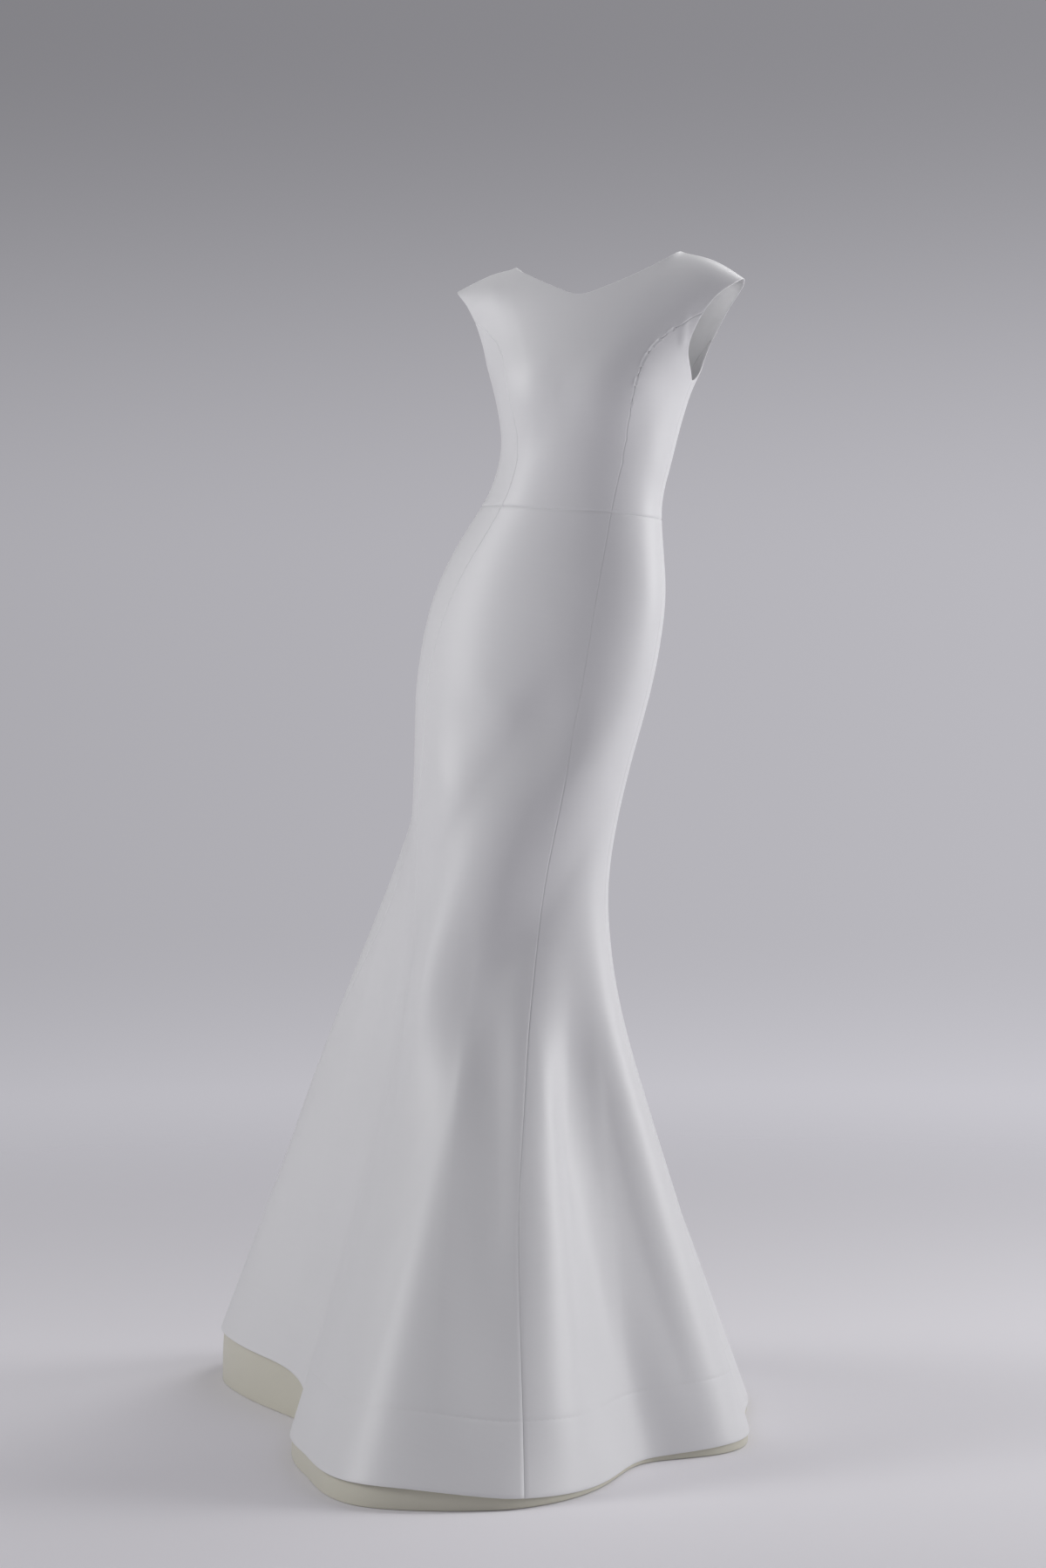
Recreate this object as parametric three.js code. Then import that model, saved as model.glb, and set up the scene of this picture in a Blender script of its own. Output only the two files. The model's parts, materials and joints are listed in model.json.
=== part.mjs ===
// A mermaid wedding gown in its worn, hollow form: a fitted bodice with grown-on cap
// shoulders and a shallow V neckline, a waist seam, and a skirt that is narrow down to
// knee height and then flares to a swept hem with a short train. Every piece is a wall
// of heavy satin.
//
// Millimetres, +Z up. The front faces -Y and the gown's left side is +X. The origin lies
// midway between the two shoulder seams, where the gown hangs.
// A place on the cloth is a bearing and a height: the bearing is in degrees, 0 at the
// centre front, 90 at the gown's left side and 180 at the centre back, and the height
// is measured up from the floor.

import * as THREE from 'three';

// Driving sizes
const SHOULDER_HEIGHT = 1552;
const WALL = 2;
const LINING_WALL = 1.5;
const SEAM_GAP = 0.3;
const WAIST = { height: 1220, tilt: 10 };
const HEM_CENTRE = { x: -128, y: 0 };
const ZIP = { width: 22, wall: 1.2, skirtRows: 4 };

// Cells across each panel, the same in the bodice and the skirt so that the waist meets
const COLUMNS = { halfFront: 8, sideFront: 8, sideBack: 7, back: 7 };
const SHOULDER_COLUMNS = 3;
const YOKE_HOLD = 1.5;
const YOKE_TILT = { rise: 6, from: 1510, to: 1545 };
const BODICE_ROWS = { toArmhole: 10, frontArmhole: 4, backArmhole: 5 };
const SKIRT_ROWS = 24;
const HEM_BAND = { height: 80, rows: 2 };

// Level sections of the fitted tube and, above the underarm, of the shoulders:
// the centre, the half width, and the depth in front of the centre and behind it
const SECTIONS = [
  { height: 0, x: -128, y: -20, half: 130, front: 104, back: 104 },
  { height: 700, x: -114, y: -35, half: 131, front: 105, back: 105 },
  { height: 800, x: -108, y: -32, half: 138, front: 109, back: 110 },
  { height: 910, x: -95, y: -25, half: 150, front: 112, back: 121 },
  { height: 1006, x: -82, y: -20, half: 162, front: 112, back: 132 },
  { height: 1080, x: -69, y: -18, half: 162, front: 108, back: 130 },
  { height: 1140, x: -58, y: -17, half: 151, front: 102, back: 118 },
  { height: 1190, x: -46, y: -16, half: 133, front: 98, back: 105 },
  { height: 1220, x: -34, y: -15, half: 122, front: 96, back: 98 },
  { height: 1250, x: -24, y: -13, half: 116, front: 100, back: 97 },
  { height: 1280, x: -15, y: -11, half: 115, front: 105, back: 98 },
  { height: 1310, x: -10, y: -9, half: 117, front: 110, back: 99 },
  { height: 1340, x: -8, y: -7, half: 123, front: 116, back: 103 },
  { height: 1370, x: -7, y: -5, half: 131, front: 120, back: 106 },
  { height: 1395, x: -5, y: -3, half: 141, front: 119, back: 108 },
  { height: 1420, x: -3, y: -2, half: 152, front: 112, back: 106 },
  { height: 1443, x: -1, y: -1, half: 166, front: 103, back: 102 },
  { height: 1466, x: 0, y: 0, half: 181, front: 92, back: 95 },
  { height: 1494, x: 0, y: 0, half: 196, front: 77, back: 82 },
  { height: 1517, x: 0, y: 0, half: 201, front: 60, back: 68 },
  { height: 1531, x: 0, y: 0, half: 178, front: 46, back: 54 },
  { height: 1542, x: 0, y: 0, half: 158, front: 35, back: 42 },
  { height: 1549, x: 0, y: 0, half: 136, front: 26, back: 30 },
  { height: 1552, x: 0, y: 0, half: 118, front: 18, back: 20 },
];

// Soft rises that the cut and the pressing give the cloth
const RISES = [
  { name: 'left cup', bearing: 32, height: 1372, rise: 7, across: 34, tall: 75 },
  { name: 'right cup', bearing: -32, height: 1372, rise: 7, across: 34, tall: 75 },
  { name: 'skirt front', bearing: -12, height: 820, rise: 14, across: 46, tall: 230 },
];

// The flare, round the hem: how far the hem reaches from its centre, how high it clears
// the floor, the height where the flare leaves the tube, and the share of the drop over
// which it bends before it runs on straight
const FLARE = [
  { name: 'train, right corner', bearing: -114, reach: 575, lift: 74, start: 985, bend: 0.2 },
  { name: 'right flare, front', bearing: -97, reach: 424, lift: 70, start: 960, bend: 0.36 },
  { name: 'right hollow, back', bearing: -82, reach: 312, lift: 68, start: 890, bend: 0.4 },
  { name: 'right hollow', bearing: -66, reach: 268, lift: 45, start: 760, bend: 0.5 },
  { name: 'front flare, right edge', bearing: -46, reach: 308, lift: 22, start: 760, bend: 0.5 },
  { name: 'front flare, right face', bearing: -20, reach: 396, lift: 28, start: 760, bend: 0.5 },
  { name: 'front flare, nose', bearing: 2, reach: 512, lift: 28, start: 760, bend: 0.5 },
  { name: 'front flare, left face', bearing: 24, reach: 488, lift: 11, start: 760, bend: 0.5 },
  { name: 'front flare, left edge', bearing: 36, reach: 408, lift: 5, start: 760, bend: 0.5 },
  { name: 'left hollow', bearing: 56, reach: 291, lift: 5, start: 760, bend: 0.5 },
  { name: 'left flare', bearing: 82, reach: 344, lift: 12, start: 765, bend: 0.36 },
  { name: 'left flare, back', bearing: 108, reach: 316, lift: 12, start: 765, bend: 0.36 },
  { name: 'train, left side', bearing: 145, reach: 395, lift: 8, start: 820, bend: 0.5 },
  { name: 'train, back', bearing: 186, reach: 560, lift: 8, start: 860, bend: 0.45 },
  { name: 'train, right side', bearing: 220, reach: 606, lift: 24, start: 950, bend: 0.3 },
];

// Bearings of the skirt's seams and of its centre front by height, from the centre back
// round by the right
const SKIRT_SEAMS = [
  { height: 0, backRight: -152, sideRight: -118, frontRight: -42, centreFront: -10,
    frontLeft: 22, sideLeft: 92, backLeft: 142, centreBack: 182 },
  { height: 300, backRight: -151, sideRight: -115, frontRight: -43.5, centreFront: -11,
    frontLeft: 21.5, sideLeft: 91, backLeft: 141, centreBack: 182 },
  { height: 500, backRight: -148, sideRight: -108, frontRight: -49, centreFront: -12,
    frontLeft: 25.3, sideLeft: 90, backLeft: 139, centreBack: 182 },
  { height: 720, backRight: -142, sideRight: -98, frontRight: -54.5, centreFront: -9,
    frontLeft: 36, sideLeft: 90, backLeft: 138, centreBack: 181 },
  { height: 850, backRight: -140, sideRight: -94, frontRight: -51, centreFront: -5.5,
    frontLeft: 39.5, sideLeft: 90, backLeft: 138, centreBack: 180 },
  { height: 1010, backRight: -138, sideRight: -91, frontRight: -49, centreFront: -5,
    frontLeft: 37.7, sideLeft: 90, backLeft: 138, centreBack: 180 },
  { height: 1100, backRight: -138, sideRight: -90, frontRight: -43.5, centreFront: -3,
    frontLeft: 37, sideLeft: 90, backLeft: 138, centreBack: 180 },
  { height: 1205, backRight: -138, sideRight: -90, frontRight: -32, centreFront: 0,
    frontLeft: 42, sideLeft: 90, backLeft: 138, centreBack: 180 },
  { height: 1240, backRight: -138, sideRight: -90, frontRight: -32, centreFront: 0,
    frontLeft: 42, sideLeft: 90, backLeft: 138, centreBack: 180 },
];

// Edges of the bodice pieces on the left side; the right side is their mirror image, but
// for the front princess seams, which the twist of the pose sets apart
const FRONT_PRINCESS_LEFT = [
  { height: 1220, bearing: 42 },
  { height: 1245, bearing: 43 },
  { height: 1280, bearing: 42.7 },
  { height: 1320, bearing: 41.8 },
  { height: 1380, bearing: 40.2 },
  { height: 1407, bearing: 39.8 },
  { height: 1432, bearing: 43.6 },
  { height: 1450, bearing: 50.5 },
  { height: 1466, bearing: 60 },
];
const FRONT_PRINCESS_RIGHT = [
  { height: 1220, bearing: 32 },
  { height: 1265, bearing: 32.5 },
  { height: 1316, bearing: 35 },
  { height: 1380, bearing: 37 },
  { height: 1407, bearing: 39 },
  { height: 1432, bearing: 43.6 },
  { height: 1450, bearing: 50.5 },
  { height: 1466, bearing: 60 },
];
const BACK_PRINCESS = [
  { height: 1220, bearing: 138 },
  { height: 1300, bearing: 136 },
  { height: 1380, bearing: 132 },
  { height: 1440, bearing: 121 },
];
const SIDE_SEAM = [
  { height: 1220, bearing: 90 },
  { height: 1382, bearing: 90 },
];
const FRONT_ARMHOLE_LOW = [
  { height: 1382, bearing: 90 },
  { height: 1397, bearing: 79 },
  { height: 1420, bearing: 67 },
  { height: 1443, bearing: 62 },
  { height: 1466, bearing: 60 },
];
const FRONT_ARMHOLE_HIGH = [
  { height: 1466, bearing: 60 },
  { height: 1489, bearing: 62 },
  { height: 1505, bearing: 72 },
  { height: 1517, bearing: 90 },
];
const BACK_ARMHOLE_LOW = [
  { height: 1382, bearing: 90 },
  { height: 1392, bearing: 101 },
  { height: 1412, bearing: 114 },
  { height: 1440, bearing: 121 },
];
const BACK_ARMHOLE_HIGH = [
  { height: 1440, bearing: 121 },
  { height: 1470, bearing: 121 },
  { height: 1495, bearing: 114 },
  { height: 1517, bearing: 90 },
];
const SHOULDER_SEAM = [
  { height: 1552, bearing: 90 },
  { height: 1549, bearing: 90 },
  { height: 1542, bearing: 90 },
  { height: 1531, bearing: 90 },
  { height: 1517, bearing: 90 },
];
const FRONT_NECKLINE = [
  { height: 1490, bearing: 0 },
  { height: 1505, bearing: 10 },
  { height: 1530, bearing: 29 },
  { height: 1543.5, bearing: 46 },
  { height: 1550.3, bearing: 61 },
  { height: 1552, bearing: 90 },
];
const BACK_NECKLINE = [
  { height: 1500, bearing: 180 },
  { height: 1506, bearing: 167 },
  { height: 1522, bearing: 154 },
  { height: 1541, bearing: 139 },
  { height: 1550, bearing: 119 },
  { height: 1552, bearing: 90 },
];

const SATIN = new THREE.MeshStandardMaterial({ color: 0xf1f0ee, roughness: 0.55, metalness: 0 });
const LINING = new THREE.MeshStandardMaterial({ color: 0xe9e6d2, roughness: 0.6, metalness: 0 });
const ZIP_TAPE = new THREE.MeshStandardMaterial({ color: 0xecebe6, roughness: 0.7, metalness: 0 });

const mix = (from, to, share) => from + (to - from) * share;
const radians = THREE.MathUtils.degToRad;
const degrees = THREE.MathUtils.radToDeg;

// A smooth line through a table's rows that never overshoots them, with the key column
// rising; past either end it keeps the end row's value
function through(rows, key, column) {
  const at = rows.map((row) => row[key]);
  const value = rows.map((row) => row[column]);
  const last = rows.length - 1;
  const slope = at.slice(1).map((x, i) => (value[i + 1] - value[i]) / (x - at[i]));
  const tangent = value.map((_, i) => {
    if (i === 0) return slope[0];
    if (i === last) return slope[last - 1];
    if (slope[i - 1] * slope[i] <= 0) return 0;
    const before = at[i] - at[i - 1];
    const after = at[i + 1] - at[i];
    const near = (2 * after + before) / slope[i - 1] + (after + 2 * before) / slope[i];
    return (3 * (before + after)) / near;
  });
  return (x) => {
    if (x <= at[0]) return value[0];
    if (x >= at[last]) return value[last];
    const i = at.findIndex((end) => end > x) - 1;
    const span = at[i + 1] - at[i];
    const t = (x - at[i]) / span;
    const rise = value[i + 1] - value[i];
    const ends = span * (tangent[i] * (1 - t) ** 2 * t - tangent[i + 1] * t * t * (1 - t));
    return value[i] + rise * t * t * (3 - 2 * t) + ends;
  };
}

const columnsOf = (rows, key, names) =>
  Object.fromEntries(names.map((name) => [name, through(rows, key, name)]));

const section = columnsOf(SECTIONS, 'height', ['x', 'y', 'half', 'front', 'back']);
const skirtSeam = columnsOf(SKIRT_SEAMS, 'height', [
  'backRight', 'sideRight', 'frontRight', 'centreFront', 'frontLeft', 'sideLeft', 'backLeft',
  'centreBack',
]);

// The flare's rows go once round, so they are repeated a turn before and a turn after
const turned = (turn) => FLARE.map((row) => ({ ...row, bearing: row.bearing + turn }));
const flare = columnsOf([...turned(-360), ...FLARE, ...turned(360)], 'bearing', [
  'reach', 'lift', 'start', 'bend',
]);

// A bearing's difference from another, brought between -180 and 180
const bearingFrom = (bearing, other) =>
  THREE.MathUtils.euclideanModulo(bearing - other + 180, 360) - 180;

// The rise of the soft forms at a place, fading smoothly to nothing at their rims
function riseAt(bearing, height) {
  let rise = 0;
  for (const form of RISES) {
    const across = bearingFrom(bearing, form.bearing) / form.across;
    const along = (height - form.height) / form.tall;
    const out = Math.min(1, across * across + along * along);
    rise += form.rise * (1 - out) ** 2;
  }
  return rise;
}

// How much higher the left shoulder stands than its section, and the right one lower
function yokeTilt(bearing, height) {
  const share = THREE.MathUtils.smoothstep(height, YOKE_TILT.from, YOKE_TILT.to);
  return YOKE_TILT.rise * share * Math.sin(radians(bearing));
}

// The fitted tube: an oval section, deeper in front or behind as its row says
function tubePoint(bearing, height) {
  const sine = Math.sin(radians(bearing));
  const cosine = Math.cos(radians(bearing));
  const depth = cosine > 0 ? section.front(height) : section.back(height);
  const rise = riseAt(bearing, height);
  return new THREE.Vector3(
    section.x(height) + (section.half(height) + rise) * sine,
    section.y(height) - (depth + rise) * cosine,
    height - SHOULDER_HEIGHT + yokeTilt(bearing, height),
  );
}

// How much of the flare is out at a height: an arc at its top, then a straight run
function flareShare(bearing, height) {
  const start = flare.start(bearing);
  const drop = (start - height) / (start - flare.lift(bearing));
  const bend = flare.bend(bearing);
  if (drop <= 0) return 0;
  const run = drop < bend ? (drop * drop) / (2 * bend) : drop - bend / 2;
  return Math.min(1, run / (1 - bend / 2));
}

// The outer face of the cloth
function place(bearing, height) {
  const point = tubePoint(bearing, height);
  const share = flareShare(bearing, height);
  if (share === 0) return point;
  const tubeHem = tubePoint(bearing, flare.lift(bearing));
  const reach = flare.reach(bearing);
  const hemX = HEM_CENTRE.x + reach * Math.sin(radians(bearing));
  const hemY = HEM_CENTRE.y - reach * Math.cos(radians(bearing));
  point.x += (hemX - tubeHem.x) * share;
  point.y += (hemY - tubeHem.y) * share;
  return point;
}

// The direction out of the cloth at a place
function outward(bearing, height) {
  const step = 0.25;
  const round = place(bearing + step, height).sub(place(bearing - step, height));
  const up = place(bearing, height + step).sub(place(bearing, height - step));
  return round.cross(up).normalize();
}

// One point of a piece: on its outer face, and straight through the wall on its inner face
function clothPoint({ bearing, height }) {
  const outer = place(bearing, height);
  return { outer, inner: outer.clone().addScaledVector(outward(bearing, height), -WALL) };
}

// Rows of cloth points, from the bottom up and by rising bearing
function clothGrid(rows, columns, placeAt) {
  const grid = [];
  for (let row = 0; row <= rows; row++) {
    const line = [];
    for (let column = 0; column <= columns; column++) {
      line.push(clothPoint(placeAt(column / columns, row / rows)));
    }
    grid.push(line);
  }
  return grid;
}

// Moves a line of points in by half a seam gap, square to the line and towards the points
// beside it
function trimLine(line, beside) {
  for (const face of ['outer', 'inner']) {
    const before = line.map((point) => point[face].clone());
    line.forEach((point, i) => {
      const ahead = before[Math.min(i + 1, before.length - 1)];
      const along = ahead.clone().sub(before[Math.max(i - 1, 0)]).normalize();
      const way = beside[i][face].clone().sub(before[i]);
      way.addScaledVector(along, -way.dot(along));
      point[face].addScaledVector(way.normalize(), SEAM_GAP / 2);
    });
  }
}

// Trims the named edges of a piece for the seams that they are sewn into
function trim(grid, edges) {
  const rows = { bottom: [0, 1], top: [grid.length - 1, grid.length - 2] };
  const width = grid[0].length;
  const columns = { left: [0, 1], right: [width - 1, width - 2] };
  for (const name of edges) {
    const of = (index) => (rows[name] ? grid[index] : grid.map((line) => line[index]));
    const [at, beside] = rows[name] ?? columns[name];
    trimLine(of(at), of(beside));
  }
  return grid;
}

// A closed wall between the outer and inner points of a grid
function wallGeometry(grid) {
  const rows = grid.length;
  const columns = grid[0].length;
  const positions = [];
  for (const face of ['outer', 'inner']) {
    grid.flat().forEach((point) => positions.push(...point[face].toArray()));
  }
  const outer = (row, column) => row * columns + column;
  const inner = (row, column) => rows * columns + outer(row, column);
  const triangles = [];
  const quad = (a, b, c, d) => triangles.push(a, b, c, a, c, d);
  for (let r = 0; r + 1 < rows; r++) {
    for (let c = 0; c + 1 < columns; c++) {
      quad(outer(r, c), outer(r, c + 1), outer(r + 1, c + 1), outer(r + 1, c));
      quad(inner(r, c), inner(r + 1, c), inner(r + 1, c + 1), inner(r, c + 1));
    }
    const end = columns - 1;
    quad(outer(r, 0), outer(r + 1, 0), inner(r + 1, 0), inner(r, 0));
    quad(outer(r, end), inner(r, end), inner(r + 1, end), outer(r + 1, end));
  }
  for (let c = 0; c + 1 < columns; c++) {
    const top = rows - 1;
    quad(outer(0, c), inner(0, c), inner(0, c + 1), outer(0, c + 1));
    quad(outer(top, c), outer(top, c + 1), inner(top, c + 1), inner(top, c));
  }
  const geometry = new THREE.BufferGeometry();
  geometry.setAttribute('position', new THREE.Float32BufferAttribute(positions, 3));
  geometry.setIndex(triangles);
  geometry.computeVertexNormals();
  return geometry;
}

const gown = new THREE.Group();
const grids = {};

function addPiece(name, grid, material = SATIN) {
  grids[name] = grid;
  const piece = new THREE.Mesh(wallGeometry(grid), material);
  piece.name = name;
  gown.add(piece);
}

// The waist seam, a little higher on the right side than on the left
const waistHeight = (bearing) => WAIST.height - WAIST.tilt * Math.sin(radians(bearing));

// An edge of a bodice piece, walked by its length: the share 0 is its first row
function edge(rows) {
  let length = 0;
  const walked = rows.map((row, i) => {
    if (i > 0) {
      const before = place(rows[i - 1].bearing, rows[i - 1].height);
      length += place(row.bearing, row.height).distanceTo(before);
    }
    return { ...row, length };
  });
  const { bearing, height } = columnsOf(walked, 'length', ['bearing', 'height']);
  return (share) => ({ bearing: bearing(share * length), height: height(share * length) });
}

// Two edges end to end, the first one taking the given share of the whole
const joined = (first, second, share) => (t) =>
  t <= share ? first(t / share) : second((t - share) / (1 - share));

// A seam that rises from the waist: its first row is moved to the waist seam's height
function fromWaist(rows, side) {
  const bearing = rows[0].bearing;
  return edge([{ bearing, height: waistHeight(side * bearing) }, ...rows.slice(1)]);
}

const alongWaist = (from, to, side) => (share) => {
  const bearing = mix(from, to, share);
  return { bearing, height: waistHeight(side * bearing) };
};

// A four-sided patch between its edges, blended in height and in the named measure across.
// The higher the hold, the nearer to the top edge its shape fades out
function patch(measure, hold, { bottom, top, left, right }) {
  return (across, up) => {
    const blend = (of) => {
      const sides = mix(left(up)[of], right(up)[of], across);
      const ends = mix(bottom(across)[of], top(across)[of], up ** hold);
      const low = mix(bottom(0)[of], bottom(1)[of], across);
      const high = mix(top(0)[of], top(1)[of], across);
      return sides + ends - mix(low, high, up ** hold);
    };
    return { [measure]: blend(measure), height: blend('height') };
  };
}

// An edge as it is seen from the front: how far it lies to the side, and its height
const seenFlat = (edgeAt) => (share) => {
  const { bearing, height } = edgeAt(share);
  return { x: section.half(height) * Math.sin(radians(bearing)), height };
};

// Half of the front or back above the waist, from its centre line to the princess seam:
// its top runs along the neckline and out over the shoulder to the tip of the cap. It is
// blended as it is seen flat, because the bearings crowd together along the shoulder
function halfYoke(side, parts) {
  const armholeRows = parts.rows - BODICE_ROWS.toArmhole;
  const seam = fromWaist(parts.princess, side);
  const centre = parts.neckline[0];
  const low = { bearing: centre.bearing, height: waistHeight(centre.bearing) };
  const up = joined(seam, edge(parts.armhole), 1 - armholeRows / parts.rows);
  const out = joined(
    edge(parts.neckline),
    edge(SHOULDER_SEAM),
    1 - SHOULDER_COLUMNS / parts.columns,
  );
  const flat = patch('x', YOKE_HOLD, {
    bottom: seenFlat(alongWaist(centre.bearing, parts.princess[0].bearing, side)),
    left: seenFlat(edge([low, centre])),
    right: seenFlat(up),
    top: seenFlat(out),
  });
  return (across, upward) => {
    const { x, height } = flat(across, upward);
    const turn = degrees(Math.asin(Math.min(1, x / section.half(height))));
    return { bearing: centre.bearing === 0 ? turn : centre.bearing - turn, height };
  };
}

const onSide = (side, { bearing, height }) => ({ bearing: side * bearing, height });

function addBodiceFront() {
  const parts = {
    rows: BODICE_ROWS.toArmhole + BODICE_ROWS.frontArmhole,
    columns: COLUMNS.halfFront,
    armhole: FRONT_ARMHOLE_HIGH,
    neckline: FRONT_NECKLINE,
  };
  const halves = {
    '-1': halfYoke(-1, { ...parts, princess: FRONT_PRINCESS_RIGHT }),
    1: halfYoke(1, { ...parts, princess: FRONT_PRINCESS_LEFT }),
  };
  const placeAt = (across, up) => {
    const side = across < 0.5 ? -1 : 1;
    return onSide(side, halves[side](Math.abs(2 * across - 1), up));
  };
  const grid = clothGrid(parts.rows, 2 * COLUMNS.halfFront, placeAt);
  trimYoke(grid, 'left');
  trimYoke(grid, 'right');
  addPiece('bodice_front', trim(grid, ['bottom']));
}

// Trims a yoke's princess seam, and its shoulder seam on that side
function trimYoke(grid, edgeName) {
  const seamRows = grid.slice(0, BODICE_ROWS.toArmhole + 1);
  trim(seamRows, [edgeName]);
  const ends = SHOULDER_COLUMNS + 1;
  const part = (line) => (edgeName === 'left' ? line.slice(0, ends) : line.slice(-ends));
  trim(grid.map(part), ['top']);
}

function addBodiceBack(side, name) {
  const parts = {
    rows: BODICE_ROWS.toArmhole + BODICE_ROWS.backArmhole,
    columns: COLUMNS.back,
    princess: BACK_PRINCESS,
    armhole: BACK_ARMHOLE_HIGH,
    neckline: BACK_NECKLINE,
  };
  const half = halfYoke(side, parts);
  const placeAt = (across, up) => {
    const fromCentre = side === 1 ? 1 - across : across;
    const { bearing, height } = half(fromCentre, up);
    return { bearing: side === 1 ? bearing : 360 - bearing, height };
  };
  const grid = clothGrid(parts.rows, COLUMNS.back, placeAt);
  trimYoke(grid, side === 1 ? 'left' : 'right');
  addPiece(name, trim(grid, ['bottom', side === 1 ? 'right' : 'left']));
}

function addBodiceSide(side, name, princess, armhole, columns) {
  const seam = fromWaist(princess, side);
  const sideSeam = fromWaist(SIDE_SEAM, side);
  const underArmhole = edge(armhole);
  const half = patch('bearing', 1, {
    bottom: alongWaist(SIDE_SEAM[0].bearing, princess[0].bearing, side),
    left: sideSeam,
    right: seam,
    top: underArmhole,
  });
  const rising = (princess[0].bearing > SIDE_SEAM[0].bearing) === (side === 1);
  const placeAt = (across, up) => onSide(side, half(rising ? across : 1 - across, up));
  const grid = clothGrid(BODICE_ROWS.toArmhole, columns, placeAt);
  addPiece(name, trim(grid, ['left', 'right', 'bottom']));
}

// A height on the skirt between its hem and the waist seam: the lowest rows are the hem's
// band, whose top is where the hem is held, and the rest are even
function skirtHeight(hem, waist, up) {
  const row = up * SKIRT_ROWS;
  const bandTop = hem + HEM_BAND.height;
  if (row <= HEM_BAND.rows) return mix(hem, bandTop, row / HEM_BAND.rows);
  return mix(bandTop, waist, (row - HEM_BAND.rows) / (SKIRT_ROWS - HEM_BAND.rows));
}

// A gore of the skirt from the hem up to the waist seam. Its first and last lines are its
// seams, and the cells are even between one line and the next
function addSkirtPiece(name, lines, columns) {
  const placeAt = (across, up) => {
    const along = across * (lines.length - 1);
    const span = Math.min(Math.floor(along), lines.length - 2);
    const bearingAt = (height) =>
      mix(lines[span](height), lines[span + 1](height), along - span);
    const waist = waistHeight(bearingAt(WAIST.height));
    const height = skirtHeight(flare.lift(bearingAt(0)), waist, up);
    return { bearing: bearingAt(height), height };
  };
  const grid = clothGrid(SKIRT_ROWS, columns, placeAt);
  addPiece(name, trim(grid, ['left', 'right', 'top']));
}

// A point on the inner face of the cloth, part of the way from one point to the next and
// moved in by the seam gap, with a wall of its own
function pointInside(from, to, share, wall) {
  const on = from.inner.clone().lerp(to.inner, share);
  const inward = on.clone().sub(from.outer.clone().lerp(to.outer, share)).normalize();
  return {
    outer: on.clone().addScaledVector(inward, SEAM_GAP),
    inner: on.clone().addScaledVector(inward, SEAM_GAP + wall),
  };
}

// The under-layer: it follows the inside of the skirt's hem band and hangs on from the
// skirt's hem straight down to the floor
function addHemLining(name, skirtPieces) {
  const band = [];
  for (let row = 0; row <= HEM_BAND.rows; row++) {
    const line = skirtPieces.flatMap((piece, i) => grids[piece][row].slice(i === 0 ? 0 : 1));
    band.push(line.map((point) => pointInside(point, point, 0, LINING_WALL)));
  }
  const onFloor = band[0].map(({ outer, inner }) => ({
    outer: outer.clone().setZ(-SHOULDER_HEIGHT),
    inner: inner.clone().setZ(-SHOULDER_HEIGHT),
  }));
  addPiece(name, [onFloor, ...band], LINING);
}

// The zip's tape, flat against the inside of the centre-back seam from the seat to just
// under the neckline: its middle lies on the seam and its edges on the pieces beside it
function addZipTape() {
  const rowsOf = (skirt, bodice) => [
    ...skirt.slice(SKIRT_ROWS - ZIP.skirtRows, SKIRT_ROWS),
    ...bodice.slice(0, -1),
  ];
  const left = rowsOf(grids.skirt_back_left, grids.bodice_back_left);
  const right = rowsOf(grids.skirt_back_right, grids.bodice_back_right);
  const onto = (seam, beside) => {
    const share = ZIP.width / 2 / seam.inner.distanceTo(beside.inner);
    return pointInside(seam, beside, share, ZIP.wall);
  };
  const tape = left.map((line, row) => {
    const [leftBeside, leftSeam] = line.slice(-2);
    const [rightSeam, rightBeside] = right[row];
    return [
      onto(leftSeam, leftBeside),
      pointInside(leftSeam, rightSeam, 0.5, ZIP.wall),
      onto(rightSeam, rightBeside),
    ];
  });
  addPiece('zip_tape', tape, ZIP_TAPE);
}

const { sideFront, sideBack, back } = COLUMNS;
addBodiceFront();
addBodiceSide(1, 'bodice_side_front_left', FRONT_PRINCESS_LEFT, FRONT_ARMHOLE_LOW, sideFront);
addBodiceSide(-1, 'bodice_side_front_right', FRONT_PRINCESS_RIGHT, FRONT_ARMHOLE_LOW, sideFront);
addBodiceSide(1, 'bodice_side_back_left', BACK_PRINCESS, BACK_ARMHOLE_LOW, sideBack);
addBodiceSide(-1, 'bodice_side_back_right', BACK_PRINCESS, BACK_ARMHOLE_LOW, sideBack);
addBodiceBack(1, 'bodice_back_left');
addBodiceBack(-1, 'bodice_back_right');

const { frontRight, centreFront, frontLeft, sideLeft, sideRight, backLeft, backRight } = skirtSeam;
const centreBackRight = (height) => skirtSeam.centreBack(height) - 360;
addSkirtPiece('skirt_front', [frontRight, centreFront, frontLeft], 2 * COLUMNS.halfFront);
addSkirtPiece('skirt_side_front_left', [frontLeft, sideLeft], sideFront);
addSkirtPiece('skirt_side_front_right', [sideRight, frontRight], sideFront);
addSkirtPiece('skirt_side_back_left', [sideLeft, backLeft], sideBack);
addSkirtPiece('skirt_side_back_right', [backRight, sideRight], sideBack);
addSkirtPiece('skirt_back_left', [backLeft, skirtSeam.centreBack], back);
addSkirtPiece('skirt_back_right', [centreBackRight, backRight], back);

addHemLining('hem_lining_front', [
  'skirt_side_front_right', 'skirt_front', 'skirt_side_front_left',
]);
addHemLining('hem_lining_back', [
  'skirt_side_back_left', 'skirt_back_left', 'skirt_back_right', 'skirt_side_back_right',
]);
addZipTape();

export default gown;
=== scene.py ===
# %% [markdown]
# # A mermaid gown in heavy satin
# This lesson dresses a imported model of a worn, hollow gown. The model already holds the
# cut: each sewn piece is a wall of cloth in its real place and at its real size. Here
# the cloth gets what a maker would see up close: one smooth skin over all the panels,
# seams pressed into it, a rolled neckline and armholes, a hem held by hand stitches, a
# cream under-layer and a satin that catches the light.

# %% Load the model
import json
import math

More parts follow.
